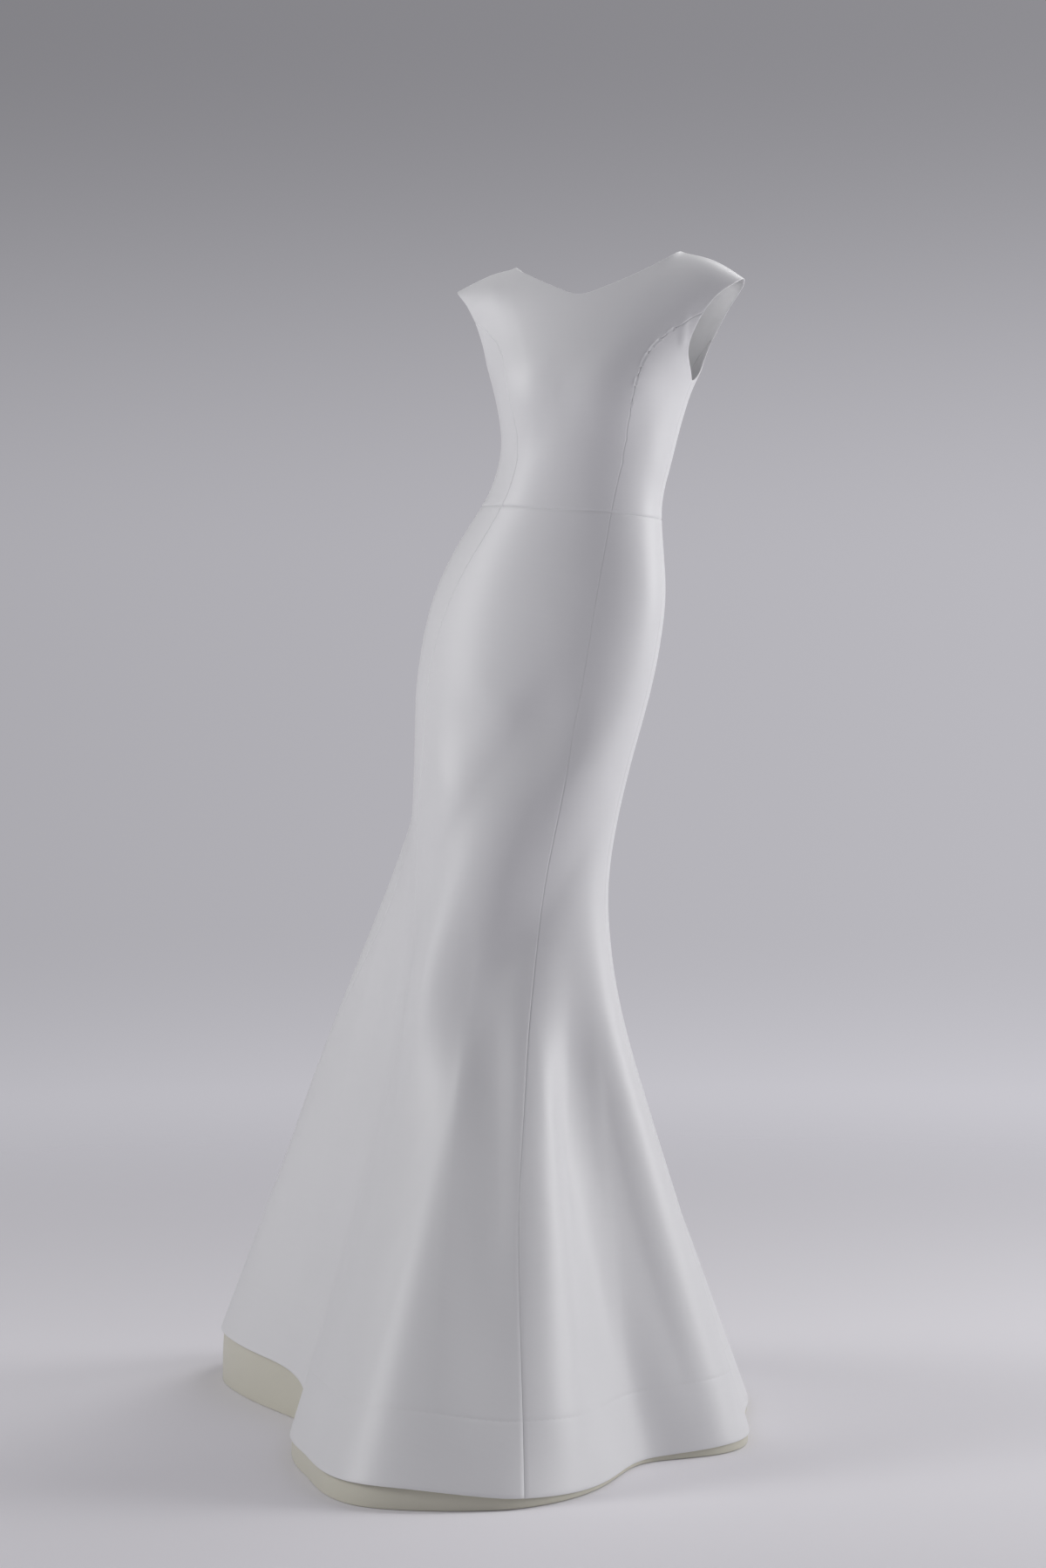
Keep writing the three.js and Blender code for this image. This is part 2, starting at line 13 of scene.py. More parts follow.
import bpy
import numpy as np
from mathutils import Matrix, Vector
from mathutils.bvhtree import BVHTree

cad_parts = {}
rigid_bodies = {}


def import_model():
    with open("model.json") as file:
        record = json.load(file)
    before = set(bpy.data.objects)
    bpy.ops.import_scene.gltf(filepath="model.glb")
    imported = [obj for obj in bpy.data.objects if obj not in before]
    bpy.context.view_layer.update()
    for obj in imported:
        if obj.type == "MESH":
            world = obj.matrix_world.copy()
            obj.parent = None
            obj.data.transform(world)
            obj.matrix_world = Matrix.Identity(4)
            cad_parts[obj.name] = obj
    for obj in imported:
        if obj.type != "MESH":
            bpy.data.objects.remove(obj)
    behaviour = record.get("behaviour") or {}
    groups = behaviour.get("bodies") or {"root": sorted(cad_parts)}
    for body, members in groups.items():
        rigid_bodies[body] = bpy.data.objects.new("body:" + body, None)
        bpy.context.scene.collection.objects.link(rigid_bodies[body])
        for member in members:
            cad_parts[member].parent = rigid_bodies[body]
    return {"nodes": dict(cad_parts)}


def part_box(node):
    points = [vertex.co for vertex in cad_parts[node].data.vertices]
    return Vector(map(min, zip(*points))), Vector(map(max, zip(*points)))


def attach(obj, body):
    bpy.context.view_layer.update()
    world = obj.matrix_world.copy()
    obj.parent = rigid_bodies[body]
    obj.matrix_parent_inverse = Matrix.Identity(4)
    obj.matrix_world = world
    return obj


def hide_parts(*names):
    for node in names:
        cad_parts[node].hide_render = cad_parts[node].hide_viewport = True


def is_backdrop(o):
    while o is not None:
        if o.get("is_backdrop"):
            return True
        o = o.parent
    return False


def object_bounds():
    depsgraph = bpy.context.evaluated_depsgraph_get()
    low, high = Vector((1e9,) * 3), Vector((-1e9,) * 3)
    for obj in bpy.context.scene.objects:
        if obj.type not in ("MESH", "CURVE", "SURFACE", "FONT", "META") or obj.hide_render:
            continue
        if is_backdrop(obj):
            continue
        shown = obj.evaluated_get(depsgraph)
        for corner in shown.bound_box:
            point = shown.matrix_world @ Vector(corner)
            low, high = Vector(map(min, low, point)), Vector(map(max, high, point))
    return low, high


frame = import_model()
cad_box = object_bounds()
SHOULDER_HEIGHT = 1.552
FLOOR = -SHOULDER_HEIGHT
print("the model holds", len(frame["nodes"]), "sewn pieces")

# %% [markdown]
# ## The camera
# The picture was taken with a short telephoto lens, from twenty degrees round to the
# gown's left side and a little above its middle. A long lens from far away keeps the
# hem and the shoulders at nearly the same scale, as it does for fashion pictures. We
# name the distance, the height and the angles, and work out the rest.

# %% Place the camera
LENS = 78.3
CAMERA_AZIMUTH = math.radians(20)
CAMERA_DISTANCE = 4.5
CAMERA_HEIGHT = 0.95
CAMERA_PITCH = math.radians(1.178)
GOWN_OFFSET = 0.10

to_right = Vector((math.cos(CAMERA_AZIMUTH), math.sin(CAMERA_AZIMUTH), 0))
to_front = Vector((math.sin(CAMERA_AZIMUTH), -math.cos(CAMERA_AZIMUTH), 0))
bpy.ops.object.camera_add(
    location=to_front * CAMERA_DISTANCE
    - to_right * GOWN_OFFSET
    + Vector((0, 0, FLOOR + CAMERA_HEIGHT)),
    rotation=(math.radians(90) - CAMERA_PITCH, 0, CAMERA_AZIMUTH),
)
camera = bpy.context.object
camera.name = "portrait_camera"
camera.data.lens = LENS
camera.data.sensor_width = 36
bpy.context.scene.camera = camera

# %% [markdown]
# ## Small tools for selecting
# Blender's operators act on whatever is selected, so each step here first clears the
# selection and then picks its own objects, faces or edges in code.


# %% Selection helpers
def select_only(*objects):
    """Selects these objects and nothing else, and makes the first one active."""
    if bpy.context.object and bpy.context.object.mode != "OBJECT":
        bpy.ops.object.mode_set(mode="OBJECT")
    bpy.ops.object.select_all(action="DESELECT")
    for o in objects:
        o.select_set(True)
    bpy.context.view_layer.objects.active = objects[0]


def select_parts(obj, faces=(), edges=()):
    """Selects faces or edges of a mesh by number, and no points, ready for edit mode."""
    mesh = obj.data
    choices = ((mesh.polygons, faces), (mesh.edges, edges), (mesh.vertices, ()))
    for group, chosen in choices:
        flags = np.zeros(len(group), bool)
        flags[list(chosen)] = True
        group.foreach_set("select", flags)


def edit(mode):
    """Enters edit mode on the active object, to select points, edges or faces."""
    bpy.ops.object.mode_set(mode="EDIT")
    bpy.ops.mesh.select_mode(type=mode)


def points_of(obj, what="co"):
    """The places of a mesh's points as an array, or their normals."""
    values = np.empty(len(obj.data.vertices) * 3)
    obj.data.vertices.foreach_get(what, values)
    return values.reshape(-1, 3)


def edge_uses(mesh):
    """How many faces share each edge: one on a rim, two inside."""
    uses = {}
    for face in mesh.polygons:
        for key in face.edge_keys:
            uses[key] = uses.get(key, 0) + 1
    return uses


def surface_of(obj):
    """A mesh's surface as a tree, to look up the nearest place or a ray's hit on it."""
    faces = [tuple(face.vertices) for face in obj.data.polygons]
    return BVHTree.FromPolygons(points_of(obj).tolist(), faces)


def apply_modifiers(obj):
    """Makes what an object's modifiers show its real mesh."""
    select_only(obj)
    for modifier in list(obj.modifiers):
        bpy.ops.object.modifier_apply(modifier=modifier.name)


# %% [markdown]
# ## One skin from the panels' outer faces
# Each panel of the model is a closed wall. Cloth that is sewn and pressed has no steps
# from panel to panel, so we want one skin to smooth in one go, and cut it into panels
# again afterwards. From a copy of each wall we keep the outer face: starting at a large
# face near the panel's middle that looks away from the gown's, Blender's
# select-linked-flat takes all that is joined to it without a sharp edge, and the rest of
# the wall is deleted. The copy's triangles are paired into quads, which subdivide well.

# %% List the panels
BODICE = [
    "bodice_front",
    "bodice_side_front_left",
    "bodice_side_back_left",
    "bodice_back_left",
    "bodice_back_right",
    "bodice_side_back_right",
    "bodice_side_front_right",
]
SKIRT = [name.replace("bodice", "skirt") for name in BODICE]
LININGS = ["hem_lining_front", "hem_lining_back"]
RIM_ANGLE = math.radians(62)
COPY_WELD = 0.00002
SEED_NEARNESS = 8


# %% Cut the outer face from a copy of a wall
def outer_face(node, name):
    """A new object that holds only the outer face of a wall, in quads."""
    source = frame["nodes"][node]
    copy = bpy.data.objects.new(name, source.data.copy())
    bpy.context.scene.collection.objects.link(copy)
    copy.matrix_world = source.matrix_world.copy()
    copy.data.materials.clear()
    select_only(copy)
    bpy.ops.object.transform_apply(location=True, rotation=True, scale=True)
    edit("VERT")
    bpy.ops.mesh.select_all(action="SELECT")
    bpy.ops.mesh.remove_doubles(threshold=COPY_WELD)
    bpy.ops.object.mode_set(mode="OBJECT")
    low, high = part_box(node)
    middle = (Vector(low) + Vector(high)) / 2
    best = max(copy.data.polygons, key=lambda face: seed_score(face, middle))
    select_parts(copy, faces=[best.index])
    edit("FACE")
    bpy.ops.mesh.faces_select_linked_flat(sharpness=RIM_ANGLE)
    bpy.ops.mesh.select_all(action="INVERT")
    bpy.ops.mesh.delete(type="FACE")
    bpy.ops.mesh.select_all(action="SELECT")
    bpy.ops.mesh.tris_convert_to_quads(face_threshold=math.pi, shape_threshold=math.pi)
    bpy.ops.object.mode_set(mode="OBJECT")
    return copy


def axis_at(height):
    """The gown's middle at a height above the floor, in plan: it leans as it is worn."""
    heights = [0, 0.70, 0.91, 1.08, 1.22, 1.31, 1.40, 1.56]
    across = [-0.128, -0.114, -0.095, -0.069, -0.034, -0.010, -0.005, 0]
    return Vector((float(np.interp(height, heights, across)), -0.015, 0))


def seed_score(face, middle):
    """How surely a face is on the outside: large, near the panel's middle, facing out."""
    centre = face.center
    out = Vector((centre.x, centre.y, 0)) - axis_at(centre.z - FLOOR)
    facing = face.normal.dot(out.normalized())
    near = math.exp(-SEED_NEARNESS * (centre - middle).length)
    return facing * face.area * near


panels = {}
for node in [*BODICE, *SKIRT, *LININGS, "zip_tape"]:
    panels[node] = outer_face(node, "cut_" + node)
    kinds = [len(face.vertices) for face in panels[node].data.polygons]
    print(node, "outer face:", kinds.count(4), "quads,", kinds.count(3), "triangles")

# %% [markdown]
# ## Each panel laid flat
# A weave runs straight in the cut cloth and bends with the garment, so the material needs
# to know where each point was on the flat cloth. Unwrapping a panel is the same as laying
# it flat. Its map is then scaled to metres and turned until the panel hangs upright in
# it, which gives the grain line, the cut's size and a scale for the weave. The bodice
# front is evened out first: its cells crowd where the neckline meets the shoulder. The
# two linings and the zip's tape are long even strips, sized by their outline and area.


# %% Lay a panel flat
RELAX_ROUNDS = 6


def lay_flat(panel):
    """Unwraps a panel in metres, upright; returns the cut's width, length and area."""
    select_only(panel)
    while panel.data.uv_layers:
        panel.data.uv_layers.remove(panel.data.uv_layers[0])
    panel.data.uv_layers.new(name="cloth")
    edit("FACE")
    bpy.ops.mesh.select_all(action="SELECT")
    bpy.ops.uv.unwrap(method="ANGLE_BASED", margin=0)
    bpy.ops.object.mode_set(mode="OBJECT")
    mesh = panel.data
    flat = np.empty(len(mesh.loops) * 2)
    mesh.uv_layers.active.data.foreach_get("uv", flat)
    flat = flat.reshape(-1, 2)
    corner = np.empty(len(mesh.loops), int)
    mesh.loops.foreach_get("vertex_index", corner)
    height = points_of(panel)[corner, 2]
    area = sum(face.area for face in mesh.polygons)
    drawn = 0
    for face in mesh.polygons:
        loop = flat[list(face.loop_indices)]
        nxt = np.roll(loop, -1, axis=0)
        drawn += abs((loop[:, 0] * nxt[:, 1] - loop[:, 1] * nxt[:, 0]).sum()) / 2
    flat = (flat - flat.mean(0)) * math.sqrt(area / drawn)
    slope = np.linalg.lstsq(flat, height - height.mean(), rcond=None)[0]
    up = slope / np.linalg.norm(slope)
    turned = np.stack([flat @ np.array([up[1], -up[0]]), flat @ up], 1)
    mesh.uv_layers.active.data.foreach_set("uv", turned.ravel())
    width, length = np.ptp(turned, axis=0)
    return float(width), float(length), area


def strip_cut(panel):
    """A long even strip's length and depth, from its outline and its area."""
    points = points_of(panel)
    rim = [key for key, uses in edge_uses(panel.data).items() if uses == 1]
    half = sum(np.linalg.norm(points[a] - points[b]) for a, b in rim) / 2
    area = sum(face.area for face in panel.data.polygons)
    depth = (half - math.sqrt(half * half - 4 * area)) / 2
    return float(half - depth), float(depth), area


def relax(panel, rounds):
    """Evens out a panel's cells: inner points slide on the form to their neighbours."""
    mesh = panel.data
    points = points_of(panel)
    form = surface_of(panel)
    uses = edge_uses(mesh)
    ends = np.array(list(uses))
    free = np.ones(len(points), bool)
    free[ends[np.array(list(uses.values())) == 1].ravel()] = False
    for _ in range(rounds):
        total, count = np.zeros_like(points), np.zeros(len(points))
        for a, b in (ends.T, ends.T[::-1]):
            np.add.at(total, a, points[b])
            np.add.at(count, a, 1)
        goal = total / count[:, None]
        for i in np.flatnonzero(free):
            points[i] = form.find_nearest(Vector(goal[i]))[0]
    mesh.vertices.foreach_set("co", points.ravel())
    mesh.update()


relax(panels["bodice_front"], RELAX_ROUNDS)
cuts = {node: lay_flat(panel) for node, panel in panels.items()}
for node in [*LININGS, "zip_tape"]:
    cuts[node] = strip_cut(panels[node])
for node, (width, length, area) in cuts.items():
    print(f"{node}: cut {width:.2f} by {length:.2f} m, {area:.3f} square metres")

# %% [markdown]
# ## Join, weld and smooth
# The panels stand 0.3 mm apart at their seams, so merging points closer than 0.6 mm
# welds them into one mesh. Before that each gets a marker material of its own, because
# a marker survives joining and subdividing, and shows later where to cut.
# An open skin may come out with its faces turned inwards, so that is checked and mended:
# seams, creases and the cloth's thickness all follow the way that the faces look.
# The subdivision then rounds the whole gown at once, without a step at any seam.

# %% Join the shell
WELD = 0.0006
SMOOTH_LEVELS = 3
HEM_ROWS = 2
HEM_REACH = 0.2


def weld_panels(names, name):
    """Joins panels, each with a marker material, into one mesh, and welds the seams."""
    for node in names:
        marker = bpy.data.materials.new("marker_" + node)
        panels[node].data.materials.append(marker)
    select_only(*[panels[node] for node in names])
    bpy.ops.object.join()
    skin = bpy.context.object
    skin.name = name
    edit("VERT")
    bpy.ops.mesh.select_all(action="SELECT")
    bpy.ops.mesh.remove_doubles(threshold=WELD)
    bpy.ops.mesh.normals_make_consistent(inside=False)
    bpy.ops.object.mode_set(mode="OBJECT")
    facing = 0
    for face in skin.data.polygons:
        middle = axis_at(face.center.z - FLOOR)
        facing += face.area * face.normal.xy.dot((face.center - middle).xy)
    if facing < 0:
        edit("FACE")
        bpy.ops.mesh.flip_normals()
        bpy.ops.object.mode_set(mode="OBJECT")
    print(name, "faced", "inwards and was turned" if facing < 0 else "outwards")
    return skin


def smooth(skin):
    """Subdivides a mesh into a smooth one."""
    modifier = skin.modifiers.new("smooth", "SUBSURF")
    modifier.levels = modifier.render_levels = SMOOTH_LEVELS
    apply_modifiers(skin)


def mark_hem_line(skin):
    """Marks the loop of edges two rows above the hem, where the hem is held."""
    uses = edge_uses(skin.data)
    low = [
        edge.index
        for edge in skin.data.edges
        if uses[edge.key] == 1
        and max(skin.data.vertices[v].co.z for v in edge.vertices) < FLOOR + HEM_REACH
    ]
    select_only(skin)
    select_parts(skin, edges=low)
    edit("EDGE")
    for _ in range(HEM_ROWS):
        bpy.ops.mesh.select_more()
    bpy.ops.mesh.region_to_loop()
    bpy.ops.object.mode_set(mode="OBJECT")
    hem = set(low)
    line = [e.index for e in skin.data.edges if e.select and e.index not in hem]
    for index in line:
        skin.data.edges[index].use_seam = True
    print("hem line has", len(line), "edges before smoothing")


shell = weld_panels(BODICE + SKIRT, "shell")
mark_hem_line(shell)
smooth(shell)
lining = weld_panels(LININGS, "lining")
smooth(lining)
print("shell has", len(shell.data.polygons), "faces, lining", len(lining.data.polygons))

# %% [markdown]
# ## Soft forms and creases
# Heavy satin holds few folds, and each one is broad and soft. They are listed in a table:
# a row names a crease, the places that it runs through as bearings round the gown and
# heights above the floor, how far it spreads to each side (from and to, where it widens
# on its way down) and how far it rises or sinks.
# Each fades out at both ends and wavers a little on its way, as real ones do. They are
# pressed before the seams, while the skin's normals are still smooth: in a groove the
# normals lean sideways, and a push along them would tear the seam's strip open.

# %% List the creases
CREASES = [
    # under the round front of the hips, and the crest that runs down across the thighs
    ("front trough", [(-50, 0.975), (-14, 0.915), (13, 0.904), (35, 0.935), (52, 0.97)],
     0.070, -0.0060),
    ("front crest", [(66, 0.97), (39, 0.859), (5, 0.724), (-23, 0.598), (-26, 0.46)],
     0.085, 0.0125),
    # small ripples at the right end of the waist seam
    ("right ripple", [(-66, 1.235), (-52, 1.231), (-36, 1.226)], 0.0045, 0.0008),
    ("right ripple low", [(-64, 1.221), (-50, 1.219), (-33, 1.2165)], 0.0040, 0.0006),
    ("right ripple mid", [(-61, 1.2275), (-48, 1.2255), (-38, 1.223)], 0.0035, -0.0006),
    # along the armholes, in front below the princess seam and behind
    ("left armhole", [(73, 1.468), (72, 1.446), (74, 1.420)], 0.0090, 0.0010),
    ("right armhole", [(-74, 1.466), (-72.5, 1.442), (-73, 1.416)], 0.0095, 0.0009),
    ("left back armhole", [(112, 1.475), (119, 1.45), (119, 1.425)], 0.0090, 0.0013),
    ("right back armhole", [(-113, 1.47), (-120, 1.445), (-117, 1.41)], 0.0100, 0.0012),
    # the hollow of the back, above and below the waist seam
    ("back fold left", [(128, 1.252), (146, 1.243), (168, 1.246)], 0.0120, -0.0018),
    ("back fold right", [(-126, 1.262), (-147, 1.256), (-172, 1.251)], 0.0130, -0.0020),
    ("back ripple left", [(126, 1.197), (148, 1.193), (166, 1.196)], 0.0110, -0.0014),
    ("back ripple right", [(-124, 1.207), (-143, 1.201), (-160, 1.202)], 0.0100, -0.0012),
    # long soft folds down the flare and the train
    ("flare crest", [(-30, 0.78), (-26, 0.58), (-21, 0.41), (-17, 0.25), (-13, 0.03)],
     (0.062, 0.090), 0.0100),
    ("flare valley", [(9, 0.60), (13, 0.42), (15, 0.26), (17, 0.05)],
     (0.035, 0.065), -0.0075),
    ("seam crest", [(34, 0.68), (30, 0.42), (29.5, 0.27), (29, 0.12), (29, 0.0)],
     (0.050, 0.080), 0.0070),
    ("left valley", [(49, 0.60), (46, 0.42), (44, 0.26), (43, 0.10), (42, 0.0)],
     (0.045, 0.075), -0.0050),
    ("left crest", [(54, 0.50), (53, 0.41), (58, 0.25), (64, 0.09), (66, 0.02)],
     (0.040, 0.060), 0.0050),
    ("train fold 1", [(152, 0.70), (160, 0.42), (163, 0.03)], 0.075, -0.0080),
    ("train fold 2", [(172, 0.60), (176, 0.35), (178, 0.03)], 0.060, 0.0060),
    ("train fold 3", [(196, 0.74), (199, 0.45), (203, 0.03)], 0.080, -0.0090),
    ("train fold 4", [(-136, 0.72), (-138, 0.44), (-141, 0.05)], 0.070, 0.0060),
    ("train fold 5", [(-119, 0.78), (-121, 0.50), (-124, 0.08)], 0.065, -0.0060),
    ("right side fold", [(-84, 0.72), (-80, 0.45), (-78, 0.08)], 0.050, -0.0060),
    ("left side fold", [(112, 0.66), (118, 0.40), (121, 0.03)], 0.055, -0.0060),
]


# %% Press the creases
CREASE_END = 0.25
WAVER = 0.18
WAVER_TURNS = 1.7
WAVER_SHIFT = 0.37


def smooth_line(rows, steps=24):
    """A curve through a crease's places, in even steps from row to row."""
    rows = np.array([rows[0], *rows, rows[-1]], float)
    t = np.linspace(0, 1, steps, endpoint=False)[:, None]
    line = []
    for a, b, c, d in zip(rows, rows[1:], rows[2:], rows[3:]):
        bend = (2 * a - 5 * b + 4 * c - d) * t**2 + (3 * b - a - 3 * c + d) * t**3
        line.append(b + ((c - a) * t + bend) / 2)
    return np.vstack([*line, rows[-1:]])


def on_cloth(tree, bearing, height):
    """The place on the cloth at a bearing and a height, found from the gown's middle."""
    turn = math.radians(bearing)
    start = axis_at(height) + Vector((0, 0, FLOOR + height))
    hit = tree.ray_cast(start, Vector((math.sin(turn), -math.cos(turn), 0)))
    return hit[0]


def press_creases(skin, tree):
    """Moves the points near each crease along their normals by its soft profile."""
    points, normals = points_of(skin), points_of(skin, "normal")
    moved = np.zeros(len(points))
    for number, (name, rows, spread, rise) in enumerate(CREASES):
        places = [on_cloth(tree, *row) for row in smooth_line(rows)]
        line = np.array([place for place in places if place is not None])
        share = np.linspace(0, 1, len(line))
        ends = np.clip(np.minimum(share, 1 - share) / CREASE_END, 0, 1)
        turns = WAVER_TURNS * share + WAVER_SHIFT * number
        waver = 1 + WAVER * np.sin(2 * math.pi * turns)
        strength = rise * ends * ends * (3 - 2 * ends) * waver
        widths = np.interp(share, [0, 1], np.broadcast_to(spread, 2))
        low, high = line.min(0) - widths.max(), line.max(0) + widths.max()
        near = np.flatnonzero(((points > low) & (points < high)).all(1))
        profile, push, total = (np.zeros(len(near)) for _ in range(3))
        for place, amount, width in zip(line, strength, widths):
            gap = np.linalg.norm(points[near] - place, axis=1) / width
            closeness = np.clip(1 - gap**2, 0, 1) ** 2
            profile = np.maximum(profile, closeness)
            push += amount * closeness**3
            total += closeness**3
        moved[near] += profile * push / np.maximum(total, 1e-9)
        print(f"{name}: {int((profile > 0).sum())} points, {1000 * rise:.1f} mm")
    points += normals * moved[:, None]
    skin.data.vertices.foreach_set("co", points.ravel())
    skin.data.update()


form = surface_of(shell)
press_creases(shell, form)
press_creases(lining, form)

# %% [markdown]
# ## Seams pressed into the cloth
# A pressed seam is a narrow valley where two folded edges meet. We bevel the edges
# between two markers, which lays a strip of fixed width along each side of the seam
# line, and sink the line itself by a fraction of a millimetre.

# %% Press the seams
SEAM_STRIP = 0.0011
SEAM_SINK = 0.0007


def seam_edges(skin):
    """The edges whose two faces carry different markers."""
    marker = {}
    seams = []
    for face in skin.data.polygons:
        for key in face.edge_keys:
            other = marker.setdefault(key, face.material_index)
            if other != face.material_index:
                seams.append(key)
    number = {edge.key: edge.index for edge in skin.data.edges}
    return [number[key] for key in seams]


def lay_strip(skin, edges, width):
    """Bevels edges into a strip of two faces, one on each side of the old line."""
    select_only(skin)
    select_parts(skin, edges=edges)
    edit("EDGE")
    bpy.ops.mesh.bevel(offset=width, segments=2, profile=0.5, affect="EDGES")
    bpy.ops.object.mode_set(mode="OBJECT")


def sink(skin, edges, depth):
    """Moves a line of edges into the cloth."""
    select_only(skin)
    select_parts(skin, edges=edges)
    edit("EDGE")
    bpy.ops.transform.shrink_fatten(value=-depth)
    bpy.ops.object.mode_set(mode="OBJECT")


lay_strip(shell, seam_edges(shell), SEAM_STRIP)
sink(shell, seam_edges(shell), SEAM_SINK)
print("shell has", len(shell.data.polygons), "faces with its seams")

# %% [markdown]
# ## The hem line
# The hem's band is turned up inside and held by blind stitches eight centimetres above
# the edge. From outside that shows as a faint drawn-in line all round. It is made as the
# seams are, but much shallower, and its points are kept for the stitches.

# %% Draw in the hem line
HEM_STRIP = 0.0012
HEM_SINK = 0.0002


def middle_of_strip(skin, width):
    """The long edges between two faces of the strip that was laid last."""
    strip = {}
    for face in skin.data.polygons:
        if face.select:
            for key in face.edge_keys:
                strip[key] = strip.get(key, 0) + 1
    points = points_of(skin)
    return [
        edge.index
        for edge in skin.data.edges
        if strip.get(edge.key) == 2
        and np.linalg.norm(np.subtract(*points[list(edge.vertices)])) > 1.5 * width
    ]


marked = [edge.index for edge in shell.data.edges if edge.use_seam]
lay_strip(shell, marked, HEM_STRIP)
hem_line = middle_of_strip(shell, HEM_STRIP)
sink(shell, hem_line, HEM_SINK)
print("hem line has", len(hem_line), "edges")
hem_numbers = sorted({v for i in hem_line for v in shell.data.edges[i].vertices})
hem_points = points_of(shell)[hem_numbers]
hem_middle = axis_at(0)
hem_bearing = np.arctan2(
    hem_points[:, 1] - hem_middle.y, hem_points[:, 0] - hem_middle.x
)

# %% [markdown]
# ## Back into panels, with thickness
# Separating by material cuts the skin along its seams again, so every sewn piece is an
# object of its own that stands for its wall in the model. Solidify gives each one the
# cloth's thickness inwards, and a small bevel rounds the cut edges, which is what makes
# a neckline or an armhole look turned and pressed.

# %% Separate and thicken
CLOTH = 0.0018
LINING_CLOTH = 0.0011
RIM_ROUNDING = 0.35
SMOOTH_ANGLE = math.radians(60)


def separate(skin, names):
    """Cuts a skin into its marked panels and names them for their nodes."""
    select_only(skin)
    bpy.ops.mesh.separate(type="MATERIAL")
    pieces = {}
    for piece in list(bpy.context.selected_objects):
        node = piece.data.materials[piece.data.polygons[0].material_index].name
        node = node.removeprefix("marker_").split(".")[0]
        piece.name = "satin_" + node
        piece.data.name = piece.name
        piece.data.materials.clear()
        pieces[node] = piece
    return {node: pieces[node] for node in names}


def mark_rims(skin):
    """Gives a skin's open edges bevel weight, so that only real rims are rounded."""
    uses = edge_uses(skin.data)
    weight = skin.data.attributes.new("bevel_weight_edge", "FLOAT", "EDGE")
    open_edges = [float(uses[edge.key] == 1) for edge in skin.data.edges]
    weight.data.foreach_set("value", open_edges)


def thicken(piece, thickness):
    """Gives a panel its wall, inwards, with the corners of its rims rounded off."""
    wall = piece.modifiers.new("wall", "SOLIDIFY")
    wall.thickness = thickness
    wall.offset = -1
    wall.use_even_offset = False
    edge = piece.modifiers.new("edge", "BEVEL")
    edge.limit_method = "WEIGHT"
    edge.width = thickness * RIM_ROUNDING
    edge.segments = 2
    apply_modifiers(piece)
    bpy.ops.object.shade_smooth_by_angle(angle=SMOOTH_ANGLE)


for skin in (shell, lining, panels["zip_tape"]):
    mark_rims(skin)
cloth = separate(shell, BODICE + SKIRT)
under = separate(lining, LININGS)
for piece in cloth.values():
    thicken(piece, CLOTH)
for piece in under.values():
    thicken(piece, LINING_CLOTH)
for node, piece in {**cloth, **under}.items():
    print(node, len(piece.data.polygons), "faces")

# %% [markdown]
# ## The concealed zip
# A concealed zip is sewn behind the centre-back seam: a flat woven tape with a fine coil
# down its middle, which faces the inside when it is closed. The tape is the model's own
# piece with a thinner wall. One turn of the coil is modelled, an Array repeats it, and a
# Curve modifier bends the row along the seam, which keeps the turns evenly apart.

# %% Make the tape and its coil
TAPE_CLOTH = 0.0007
COIL_PITCH = 0.0014
COIL_RADIUS = 0.0011
COIL_WIRE = 0.0004
COIL_STRETCH = 1.35

tape = panels["zip_tape"]
tape.name = "zip_tape_woven"
tape.data.name = tape.name
tape_rows = points_of(tape)
tape_rows = tape_rows[np.argsort(tape_rows[:, 2])].reshape(-1, 3, 3)
middle_line = [row[np.argsort(row[:, 0])][1] for row in tape_rows]
inward = Vector((0, -1, 0))
coil_path = [Vector(p) + inward * (TAPE_CLOTH + COIL_RADIUS) for p in middle_line]
coil_length = sum((b - a).length for a, b in zip(coil_path, coil_path[1:]))

bpy.ops.curve.primitive_nurbs_path_add(location=(0, 0, 0))
path = bpy.context.object
path.data.splines.clear()
spline = path.data.splines.new("POLY")
spline.points.add(len(coil_path) - 1)
for point, place in zip(spline.points, coil_path):
    point.co = (*place, 1)

bpy.ops.mesh.primitive_torus_add(
    major_radius=COIL_RADIUS - COIL_WIRE,
    minor_radius=COIL_WIRE,
    major_segments=10,
    minor_segments=5,
    location=(0, 0, 0),
    rotation=(0, math.radians(90), 0),
)
coil = bpy.context.object
coil.name = "zip_coil"
bpy.ops.object.transform_apply(location=True, rotation=True, scale=True)
edit("VERT")
bpy.ops.mesh.select_all(action="SELECT")
bpy.ops.transform.resize(value=(1, 1, COIL_STRETCH))
bpy.ops.object.mode_set(mode="OBJECT")
turns = coil.modifiers.new("turns", "ARRAY")
turns.use_relative_offset = False
turns.use_constant_offset = True
turns.constant_offset_displace = (COIL_PITCH, 0, 0)
turns.count = int(coil_length / COIL_PITCH)
bend = coil.modifiers.new("bend", "CURVE")
bend.object = path
bend.deform_axis = "POS_X"
apply_modifiers(coil)
bpy.ops.object.shade_smooth()
bpy.data.objects.remove(path)
thicken(tape, TAPE_CLOTH)
print("zip coil:", len(coil.data.polygons), "faces on", round(coil_length, 3), "metres")

# %% [markdown]
# ## The blind stitches
# The hem's stitches only catch a thread or two of the outer cloth. Each shows as a tiny
# bead of thread in the drawn-in line, about a centimetre from the next. One stitch is a
# squashed ball with few faces, and it is copied along the line and joined.

# %% Sew the hem line
STITCH_GAP = 0.009
STITCH_LENGTH = 0.0022
STITCH_THREAD = 0.00035

ring = hem_points[np.argsort(hem_bearing)]
closed = np.vstack([ring, ring[:1]])
steps = np.linalg.norm(np.diff(closed, axis=0), axis=1)
walked = np.concatenate([[0], np.cumsum(steps)])
count = int(walked[-1] / STITCH_GAP)


def along_hem(distance):
    """The point of the hem line at a distance along it."""
    return np.array([np.interp(distance, walked, closed[:, axis]) for axis in range(3)])


